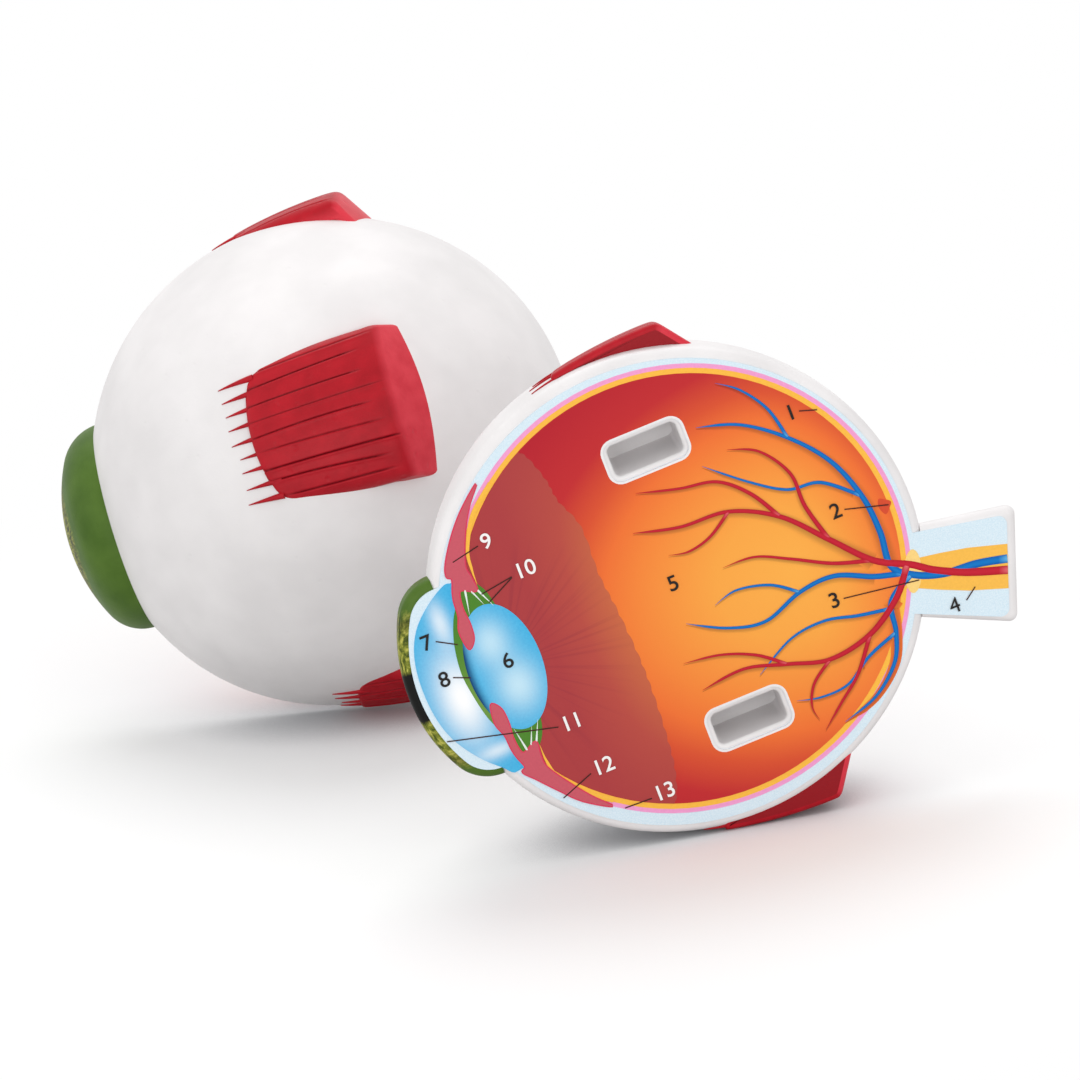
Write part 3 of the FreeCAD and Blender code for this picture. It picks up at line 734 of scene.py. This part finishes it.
def zone_colour(tree, place, height):
    parts = split(tree, place)
    off = vector(tree, "SUBTRACT", place, (*LENS_MIDDLE, 0))
    sides = split(tree, off)
    turn = times(tree, sum_of(tree, "ARCTAN2", sides[1], sides[0]), 7)
    spokes = noise(tree, joined(tree, turn), 1.6, 3, 0.6)
    folds = ramp(tree, spokes, [(0.5, (0, 0, 0, 1)), (0.62, (1, 1, 1, 1))])
    near = fade(tree, vector(tree, "LENGTH", off), 34.0, 17.0)
    dark = times(tree, folds, times(tree, near, 0.3))
    up = sum_of(tree, "POWER", sum_of(tree, "DIVIDE", parts[1], 52), 2)
    level = sum_of(tree, "SUBTRACT", 1.0, up, clamp=True)
    warm = times(tree, fade(tree, parts[0], 33.0, 15.0), level)
    colour = ramp(tree, warm, [(0.0, tone(170, 62, 64)), (0.5, tone(182, 76, 66)),
                               (1.0, tone(199, 104, 68))])
    return blend(tree, dark, colour, tone(134, 44, 60))


for half in HALVES:
    field = printed("ciliary_zone", half, zone_colour, SOFT_GRAIN)
    inked("ciliary_zone", half, [zone_outline()], 4, field)

# --------------------
# Front chamber
# Sky-blue aqueous behind the cornea, with white glows where the light falls in, and the green
# back of the iris across it.
AQUEOUS = [(49.8, 23.7), (52.6, 23.3), (57.5, 20.0), (61.4, 15.9), (64.0, 10.3), (65.1, 3.1),
           (64.7, -5.5), (62.7, -12.6), (58.6, -19.2), (54.3, -23.7), (51.0, -26.2), (46.0, -20.0),
           (46.0, 20.0)]
AQUEOUS_GLOWS = (((57.0, -4.0), (5.6, 11.0), 1.0), ((55.5, 15.5), (2.2, 5.5), 0.65),
                 ((53.5, -19.5), (5.0, 1.8), 0.6))
IRIS_BACK = [(48.8, 22.6), (50.1, 18.7), (52.3, 14.8), (54.2, 9.1), (55.1, 1.9), (54.4, -4.7),
             (53.1, -10.9), (51.2, -15.5), (49.4, -19.0), (47.6, -23.4), (43.6, -21.8),
             (41.2, -15.5), (40.0, 0.0), (41.6, 14.6), (43.9, 21.0)]


def soft_spot(tree, place, middle_at, reach):
    """Soft round glow, 1 at its middle."""
    flat = vector(tree, "MULTIPLY", vector(tree, "SUBTRACT", place, (*middle_at, 0)), (1, 1, 0))
    out = vector(tree, "LENGTH", vector(tree, "DIVIDE", flat, (*reach, 1)))
    return sum_of(tree, "POWER", math.e, times(tree, sum_of(tree, "POWER", out, 2), -1))


def lit_blue(tree, place, grain, glows, light):
    """Sky blue under soft glows of (middle, reach, strength)."""
    colour = ramp(tree, grain, [(0.3, tone(62, 172, 222)), (0.7, tone(74, 182, 228))])
    for middle_at, reach, strength in glows:
        lit = times(tree, soft_spot(tree, place, middle_at, reach), strength)
        colour = blend(tree, lit, colour, light)
    return colour


def aqueous_colour(tree, place, height):
    return lit_blue(tree, place, height, AQUEOUS_GLOWS, tone(255, 255, 255))


def iris_colour(tree, place, height):
    lit = soft_spot(tree, place, (53.0, -6.0), (6.0, 9.0))
    return blend(tree, lit, tone(76, 130, 44), tone(112, 152, 68))


for half in HALVES:
    for layer, name, outline, ink_name, colour_of in (
            (5, "aqueous", AQUEOUS, "aqueous_blue", aqueous_colour),
            (6, "iris_back", IRIS_BACK, "iris_green", iris_colour)):
        inked(name, half, [curve_through(outline)], layer, printed(ink_name, half, colour_of))

# --------------------
# Lens
# A blue oval. Two pale glows lie inside it, and its front edge is shaded navy where the pupil
# opens.
LENS_GLOWS = (((46.0, 6.3), (4.4, 6.0), 0.72), ((43.4, -6.2), (5.2, 6.6), 0.78))


def lens_colour(tree, place, height):
    colour = lit_blue(tree, place, height, LENS_GLOWS, tone(214, 240, 250))
    off = vector(tree, "SUBTRACT", place, (*LENS_MIDDLE, 0))
    sides = split(tree, vector(tree, "DIVIDE", off, (*LENS_REACH, 1)))
    edge = fade(tree, length_of(tree, sides[0], sides[1]), 0.72, 1.0)
    navy = times(tree, edge, fade(tree, sides[0], 0.62, 0.9), clamp=True)
    return blend(tree, navy, colour, tone(8, 52, 104))


for half in HALVES:
    blue = printed("lens_blue", half, lens_colour)
    inked("lens", half, [ring(*LENS_MIDDLE, *LENS_REACH)], 7, blue)

# --------------------
# Zonules and the retina's front ends
# Fine pale threads that hang the lens from the ciliary body, and the two yellow tongues in which
# the retina runs out. Each is a printed line, as wide as its brush stroke.
ZONULES = (((47.1, 20.8), (48.2, 14.7)), ((45.8, 20.0), (44.1, 15.7)), ((44.3, 19.6), (42.1, 14.6)))
TONGUES = (((32.2, 43.0), (38.9, 37.4), (43.0, 30.0), (43.8, 25.0), (43.9, 20.5)),
           ((32.2, -42.0), (38.4, -37.4), (42.6, -31.4), (43.8, -26.4), (43.9, -21.9)))
THREAD_WIDTHS, TONGUE_WIDTHS = (0.26, 0.24), (0.75, 0.25)  # at a line's start and end


def mirrored(points):
    """The same points below the lens's axis."""
    return [(x, 2 * LENS_MIDDLE[1] - y) for x, y in points]


def line_tree():
    """Printed lines: each chain of edges becomes a low rounded stroke, as wide as it says."""
    made = Tree("printed_lines", [("Widen", "Float"), ("Height", "Float"),
                                  ("Material", "Material")])
    tree, given = made.tree, made.inputs
    chains = out_of(tree, "GeometryNodeMeshToCurve", {0: given["Geometry"]})
    wide = out_of(tree, "GeometryNodeInputNamedAttribute", {"Name": "width"}, data_type="FLOAT")
    level = out_of(tree, "GeometryNodeSetCurveNormal", {0: chains}, mode="Z_UP")
    circle = out_of(tree, "GeometryNodeCurvePrimitiveCircle", {"Resolution": 12})
    side = split(tree, out_of(tree, "GeometryNodeInputPosition"))[0]
    marked = out_of(tree, "GeometryNodeStoreNamedAttribute", {
        "Geometry": circle, "Name": "across", "Value": side}, data_type="FLOAT", domain="POINT")
    squash = joined(tree, 1.0, given["Height"], 1.0)
    profile = out_of(tree, "GeometryNodeTransform", {"Geometry": marked, "Scale": squash})
    made.close(out_of(tree, "GeometryNodeCurveToMesh", {
        "Curve": level, "Profile Curve": profile,
        "Scale": times(tree, wide, given["Widen"]), "Fill Caps": True}))
    return made


printed_lines = line_tree()
POINT_LENGTH = 6.0  # over which a tapering stroke runs out


def lines(name, half, strokes, layer, material, widen=1.0, height=0.08, shift=(0, 0)):
    """Strokes are (points, width at the start, width at the end), widths from the middle.

    A stroke that tapers ends in a fine point.
    """
    spots, edges, widths, along = [], [], [], []
    high = (SHEET + INK * layer) * -half[1]
    for points, first, last in strokes:
        path = curve_through(points, 10, closed=False)
        whole = sum(math.dist(a, b) for a, b in zip(path, path[1:]))
        gone = 0.0
        for index, (x, y) in enumerate(path):
            if index:
                gone += math.dist(path[index - 1], path[index])
                edges.append((len(spots) - 1, len(spots)))
            spots.append((x + shift[0], y + shift[1], high))
            pointed = min(1, 0.12 + (whole - gone) / POINT_LENGTH) if last < first else 1
            widths.append((first + (last - first) * gone / whole) * pointed)
            along.append(gone)
    mesh = bpy.data.meshes.new(name)
    mesh.from_pydata(spots, edges, [])
    mesh.attributes.new("width", "FLOAT", "POINT").data.foreach_set("value", widths)
    mesh.attributes.new("along", "FLOAT", "POINT").data.foreach_set("value", along)
    made = printed_lines.run(mesh, {"Widen": widen, "Height": height, "Material": material})
    return settle(f"{half[0]}_{name}", half, made, material)


for half in HALVES:
    white = plain_ink("zonule_white", half, tone(232, 242, 236))
    yellow = plain_ink("tongue_yellow", half, tone(250, 190, 72))
    threads = [(points, *THREAD_WIDTHS) for points in (*ZONULES, *map(mirrored, ZONULES))]
    lines("retina_tongues", half, [(points, *TONGUE_WIDTHS) for points in TONGUES], 5, yellow)
    lines("zonules", half, threads, 8, white)

# --------------------
# Ciliary body
# Rose-coloured wedges above and below the lens, each with its pointed iris root and a brighter
# edge line.
CILIARY_FRONT = [(50.0, 25.6), (49.0, 24.5), (50.0, 21.4), (50.5, 19.0), (50.8, 15.3), (51.9, 12.0),
                 (51.7, 8.5), (51.0, 6.7), (49.3, 8.8), (48.9, 12.8), (49.2, 16.4), (48.8, 20.0),
                 (47.8, 21.1), (44.5, 19.6), (44.6, 23.1)]
CILIARY_UPPER = ([(35.5, 44.3), (41.1, 39.5), (45.5, 34.3), (49.1, 28.6)] + CILIARY_FRONT
                 + [(44.9, 26.8), (42.0, 34.4), (38.9, 39.9)])
CILIARY_LOWER = ([(33.0, -43.4), (39.2, -39.3), (43.6, -34.5), (47.6, -29.8)]
                 + mirrored(CILIARY_FRONT) + [(44.2, -28.0), (40.4, -34.2), (36.6, -39.3)])
EDGE_LINE = 0.3


def widened(points, by):
    """Outline set off outwards by a small step."""
    places = [Vector(point) for point in points]
    turn = sum(a.x * b.y - b.x * a.y for a, b in zip(places, places[1:] + places[:1]))
    out = []
    for index, place in enumerate(places):
        along = (places[(index + 1) % len(places)] - places[index - 1]).normalized()
        out.append(tuple(place + Vector((along.y, -along.x)) * math.copysign(by, turn)))
    return out


for half in HALVES:
    rose = plain_ink("ciliary_rose", half, tone(203, 90, 104))
    edge_rose = plain_ink("ciliary_edge", half, tone(218, 62, 92))
    for name, outline in (("upper", CILIARY_UPPER), ("lower", CILIARY_LOWER)):
        smooth = curve_through(outline)
        inked(f"ciliary_edge_{name}", half, [widened(smooth, EDGE_LINE)], 8.5, edge_rose)
        inked(f"ciliary_{name}", half, [smooth], 9, rose)

# --------------------
# Optic nerve, optic disc and macula
# The yellow core of the nerve widens towards the stub's end. The pale oval disc lies where it
# meets the retina, and the macula is a small red pit a little above.
NERVE_ANGLE = 18.5  # degrees below the eye's axis
NERVE_CORE = ((53.5, 3.4), (57.0, 3.6), (63.0, 4.5), (70.0, 5.3), (79.7, 5.5))
DISC_AT, DISC_REACH = (56.7, 0.6), (2.1, 5.4)
MACULA = [(-52.4, 2.6), (-53.8, 2.0), (-55.0, 0.9), (-54.3, -0.3), (-52.8, -1.6), (-51.8, 0.6)]


def by_nerve(out, up):
    """Place at a distance from the globe's centre along the nerve, and above its middle line."""
    angle = math.radians(NERVE_ANGLE)
    return (-out * math.cos(angle) - up * math.sin(angle),
            -out * math.sin(angle) + up * math.cos(angle))


for half in HALVES:
    core = [by_nerve(out, up) for out, up in NERVE_CORE]
    core += [by_nerve(out, -up) for out, up in reversed(NERVE_CORE)]
    disc = [by_nerve(DISC_AT[0] + x, DISC_AT[1] + y) for x, y in ring(0, 0, *DISC_REACH, 40)]
    inked("nerve_core", half, [core], 4, plain_ink("nerve_yellow", half, tone(250, 190, 80)))
    inked("optic_disc", half, [disc], 5, plain_ink("disc_yellow", half, tone(252, 214, 130)))
    inked("macula", half, [curve_through(MACULA)], 4, plain_ink("macula", half, tone(216, 78, 48)))

# --------------------
# Retinal vessels
# Arteries in red and veins in blue, which enter by the optic nerve and branch over the retina.
# Each is printed with a lighter middle, a pale fork and a soft shadow on the vitreous.
ARTERIES = (
    ([by_nerve(79.6, -0.9), by_nerve(70, -0.7), by_nerve(62, 0.5), (-54, -15.6), (-46, -11),
      (-38, -2), (-29, 8), (-18, 14), (-6, 15), (5, 18)], 1.05, 0.3),
    ([(-38, -2), (-35.5, 8), (-35, 17), (-30, 25), (-23, 28.5)], 0.6, 0.22),
    ([(-29, 8), (-24.5, 16), (-18, 22), (-9, 24), (1, 27)], 0.55, 0.22),
    ([(-18, 14), (-12, 10), (-6, 8.5), (-1, 9.5)], 0.45, 0.2),
    ([(-46, -11), (-37, -8), (-28, -3), (-20, 1), (-12, 1.5)], 0.55, 0.2),
    ([(-53, -15.5), (-48, -22), (-39, -28), (-28, -30), (-18, -27), (-8, -24), (3, -25)],
     0.85, 0.28),
    ([(-39, -28), (-33, -36), (-27, -41), (-21, -46)], 0.55, 0.22),
    ([(-28, -30), (-22.5, -34), (-20, -39), (-20.5, -43)], 0.45, 0.2),
    ([(-18, -27), (-12, -22), (-4, -18.5), (5, -17)], 0.45, 0.2))
VEINS = (
    ([by_nerve(79.6, 1.9), by_nerve(72, 1.2), by_nerve(64, -0.6), (-54, -18.4), (-49.5, -14),
      (-50, -5), (-49, 5), (-45, 16), (-37.5, 25.5), (-28, 33), (-18, 36.5)], 1.05, 0.3),
    ([(-49, 5), (-41, 12), (-33, 13.5), (-25, 19), (-16, 27)], 0.5, 0.2),
    ([(-37.5, 25.5), (-35.5, 34), (-31, 41), (-26, 45)], 0.45, 0.2),
    ([(-52, -17), (-45, -15), (-36, -11), (-27, -11.5), (-17, -15), (-8, -13), (1, -8)],
     0.75, 0.25),
    ([(-27, -11.5), (-21, -7), (-13, -5), (-7, -6.5)], 0.42, 0.2),
    ([(-53, -18), (-46.5, -22.5), (-45, -30), (-42, -37), (-35, -43), (-26, -46)], 0.8, 0.25),
    ([(-45, -30), (-37, -33), (-30, -37.5), (-23, -38), (-17, -36.5)], 0.48, 0.2),
    ([(-46, -24), (-38, -22.5), (-30, -20.5), (-21, -21.5), (-11, -27)], 0.48, 0.2))
SHADOW_SHIFT = (0.15, -0.4)
SHADOW_FROM = -52  # no vessel throws a shadow behind the vitreous
FORK = 2.2  # length of the pale fork at a vessel's start


def inside_stroke(tree):
    """1 along the middle of a printed line, 0 at its edges."""
    square = sum_of(tree, "POWER", mark(tree, "across"), 2)
    return sum_of(tree, "SUBTRACT", 1.0, square, clamp=True)


def vessel_ink(name, half, side_colour, middle_colour, fork_colour):
    def colour_of(tree, place, height):
        inside = inside_stroke(tree)
        colour = blend(tree, times(tree, inside, inside), side_colour, middle_colour)
        gone = sum_of(tree, "DIVIDE", mark(tree, "along"), FORK)
        fork = sum_of(tree, "SUBTRACT", 1.0, gone, clamp=True)
        return blend(tree, times(tree, fork, times(tree, inside, 0.7)), colour, fork_colour)
    return printed(name, half, colour_of)


def shadow_colour(tree, place, height):
    """The vitreous again, darker under the middle of a vessel and the same beside it."""
    return blend(tree, inside_stroke(tree), glow(tree, place), glow(tree, place, 0.8))


for half in HALVES:
    artery = vessel_ink("artery_red", half,
                        tone(178, 22, 40), tone(196, 32, 52), tone(232, 120, 128))
    vein = vessel_ink("vein_blue", half,
                      tone(0, 92, 170), tone(14, 118, 196), tone(120, 196, 236))
    shade = printed("vessel_shadow", half, shadow_colour, SOFT_GRAIN)
    inside_eye = []
    for points, first, last in ARTERIES + VEINS:
        kept = [point for point in points if point[0] > SHADOW_FROM]
        inside_eye.append((kept, first * 0.9, last))
    lines("vessel_shadows", half, inside_eye, 4, shade, widen=2.5, height=0.01,
          shift=SHADOW_SHIFT)
    lines("veins", half, VEINS, 6, vein)
    lines("arteries", half, ARTERIES, 7.5, artery)

# --------------------
# Numbers and their leaders
# Plain numbers name the printed parts, white on the dark zone and black elsewhere, with fine dark
# leader lines where a number doesn't stand on its part.
NUMBER_HIGH = 3.9
NUMBERS = (
    ("1", (-40.3, 30.9), [((-42.3, 30.6), (-46.4, 29.2))]),
    ("2", (-41.9, 3.8), [((-44.0, 3.5), (-54.2, 0.4))]),
    ("3", (-34.0, -16.8), [((-36.2, -17.1), (-54.6, -20.0))]),
    ("4", by_nerve(66.6, -8.8), [(by_nerve(69.4, -7.6), by_nerve(71.6, -4.4))]),
    ("5", (0.4, 2.5), []),
    ("6", (43.7, 0.3), []),
    ("7", (60.2, 12.1), [((58.0, 11.7), (53.4, 8.9))]),
    ("8", (59.4, 1.9), [((57.3, 1.7), (53.4, 0.0))]),
    ("9", (38.2, 30.0), [((40.4, 29.8), (47.4, 28.4))]),
    ("10", (32.0, 19.9), [((35.6, 19.5), (43.8, 18.3)), ((35.6, 19.3), (42.8, 15.7))]),
    ("11", (34.8, -20.0), [((38.2, -19.8), (64.2, -12.6))]),
    ("12", (31.6, -33.2), [((35.0, -33.7), (43.2, -36.8))]),
    ("13", (20.2, -45.0), [((23.6, -45.3), (30.4, -45.0))]))
LEADER = 0.15
CAPITAL = 0.72  # height of a figure over the font's size
ON_DARK = ("9", "10", "11", "12", "13")
BOLDER = 0.05  # added to a figure's strokes
THIN_FIGURES = ("4",)  # a bolder stroke would fill its hole


def figures(name, half, wanted, layer, material):
    """One mesh of several numbers, each turned to be read from outside the half."""
    shape = bmesh.new()
    for text, (x, y), _ in wanted:
        curve = bpy.data.curves.new("figure", "FONT")
        curve.body = text
        curve.size = NUMBER_HIGH / CAPITAL
        curve.align_x, curve.align_y = "CENTER", "CENTER"
        curve.extrude = INK
        curve.offset = 0.0 if text in THIN_FIGURES else BOLDER
        mesh = real_mesh(show("figure", curve))
        if half[1] > 0:
            mesh.transform(Matrix.Rotation(math.pi, 4, "Y"))
        mesh.transform(Matrix.Translation((x, y, (SHEET + INK * layer) * -half[1])))
        shape.from_mesh(mesh)
    made = bpy.data.meshes.new(name)
    shape.to_mesh(made)
    shape.free()
    return settle(f"{half[0]}_{name}", half, made, material, smooth=20)


for half in HALVES:
    black = plain_ink("print_black", half, tone(38, 34, 32))
    pale = plain_ink("print_white", half, tone(248, 246, 244))
    leader = plain_ink("print_leader", half, tone(64, 34, 30))
    strokes = [(ends, LEADER, LEADER) for _, _, pairs in NUMBERS for ends in pairs]
    lines("leaders", half, strokes, 10, leader)
    figures("numbers_black", half, [n for n in NUMBERS if n[0] not in ON_DARK], 10, black)
    figures("numbers_white", half, [n for n in NUMBERS if n[0] in ON_DARK], 10, pale)

# --------------------
# Table, light and camera
# A pale seamless table under large soft lamps, seen through a long lens a little from above.
# Near the halves, ambient occlusion darkens the table's colour as painted shade.
RIGHT = Vector((0.9903, -0.04125, -0.1329))
UP = Vector((0.1392, 0.2935, 0.9458))
TOWARDS = Vector((0.0, -0.9551, 0.2964))
VIEW_WIDTH = 0.2565
LENS, SENSOR = 830.0, 36.0
SKY_LIGHT = 0.77  # of the white surroundings, on the object and the table
TABLE_END = 4  # metres from the middle
TABLE_LIGHT = (0.55, 0.55, 0.55, 1)  # what the table throws back on the object
CONTACT = 0.03  # reach of the painted shade where a half stands
WHITE_FROM, WHITE_TO = 0.13, 0.3  # from the middle, where the table turns to plain white
LAMPS = (("key", (-0.7, -2.0, 0.35), 1.0, 9), ("fill", (1.0, -1.7, 0.7), 1.5, 9),
         ("side", (-1.8, -0.4, 0.8), 1.4, 4.7), ("back", (0.1, 1.0, 1.6), 1.4, 12))

globe_middle = HALVES[0][2].translation
aim = globe_middle - RIGHT * 32.9 * MM + UP * 12.3 * MM
turned = Matrix((RIGHT, UP, TOWARDS)).transposed()
camera_data = bpy.data.cameras.new("camera")
camera_data.lens = LENS
camera_data.sensor_width = SENSOR
camera = show("camera", camera_data)
camera.matrix_world = (Matrix.Translation(aim + TOWARDS * VIEW_WIDTH * LENS / SENSOR)
                       @ turned.to_4x4())
bpy.context.scene.camera = camera

table = bpy.data.meshes.new("table")
corners = [(x * TABLE_END, y * TABLE_END, 0) for x, y in ((-1, -1), (1, -1), (1, 1), (-1, 1))]
table.from_pydata(corners, [], [(0, 1, 2, 3)])
floor = show("table", table)


def seen_rays(tree):
    """1 for what is seen, straight or by gloss or glass, and 0 for the light that falls on."""
    rays = tree.nodes.new("ShaderNodeLightPath").outputs
    direct = sum_of(tree, "ADD", rays["Is Camera Ray"], rays["Is Glossy Ray"], clamp=True)
    return sum_of(tree, "ADD", direct, rays["Is Transmission Ray"], clamp=True)


paper = bpy.data.materials.new("table_paper")
paper.use_nodes = True
tree = paper.node_tree
shader = tree.nodes["Principled BSDF"]
shader.inputs["Roughness"].default_value = 0.8
shader.inputs["Specular IOR Level"].default_value = 0.0
seen = seen_rays(tree)
# painted shade: ambient occlusion darkens the table's colour where a half stands near it
hidden = add(tree, "ShaderNodeAmbientOcclusion", {"Distance": CONTACT})
hidden.samples = 8
shade = ramp(tree, hidden.outputs["AO"], [
    (0.3, tone(184, 186, 189)), (0.6, tone(240, 240, 241)), (0.92, tone(248, 248, 248))])
tree.links.new(blend(tree, seen, TABLE_LIGHT, shade), shader.inputs["Base Color"])
spread = tree.nodes.new("ShaderNodeTexCoord").outputs["Object"]
away = vector(tree, "LENGTH", vector(tree, "SUBTRACT", spread, (0.02, -0.02, 0)))
far = out_of(tree, "ShaderNodeMapRange", {"Value": away, 1: WHITE_FROM, 2: WHITE_TO},
             interpolation_type="SMOOTHSTEP")
white = out_of(tree, "ShaderNodeEmission", {"Color": (1, 1, 1, 1)})
mixed = out_of(tree, "ShaderNodeMixShader", {
    0: times(tree, far, seen), 1: shader.outputs[0], 2: white})
tree.links.new(mixed, tree.nodes["Material Output"].inputs["Surface"])
table.materials.append(paper)


for name, where, size, power in LAMPS:
    light = bpy.data.lights.new(name, "AREA")
    light.shape = "DISK"
    light.size = size
    light.energy = power
    made = show(name, light)
    made.location = where
    made.rotation_euler = (aim - Vector(where)).to_track_quat("-Z", "Y").to_euler()

world = bpy.data.worlds.new("studio")
bpy.context.scene.world = world
world.use_nodes = True
sky = world.node_tree
level = fade(sky, seen_rays(sky), 0.0, 1.0, SKY_LIGHT, 1.0)
sky.nodes["Background"].inputs["Color"].default_value = (1, 1, 1, 1)
sky.links.new(level, sky.nodes["Background"].inputs["Strength"])
bpy.context.scene.view_settings.view_transform = "Standard"
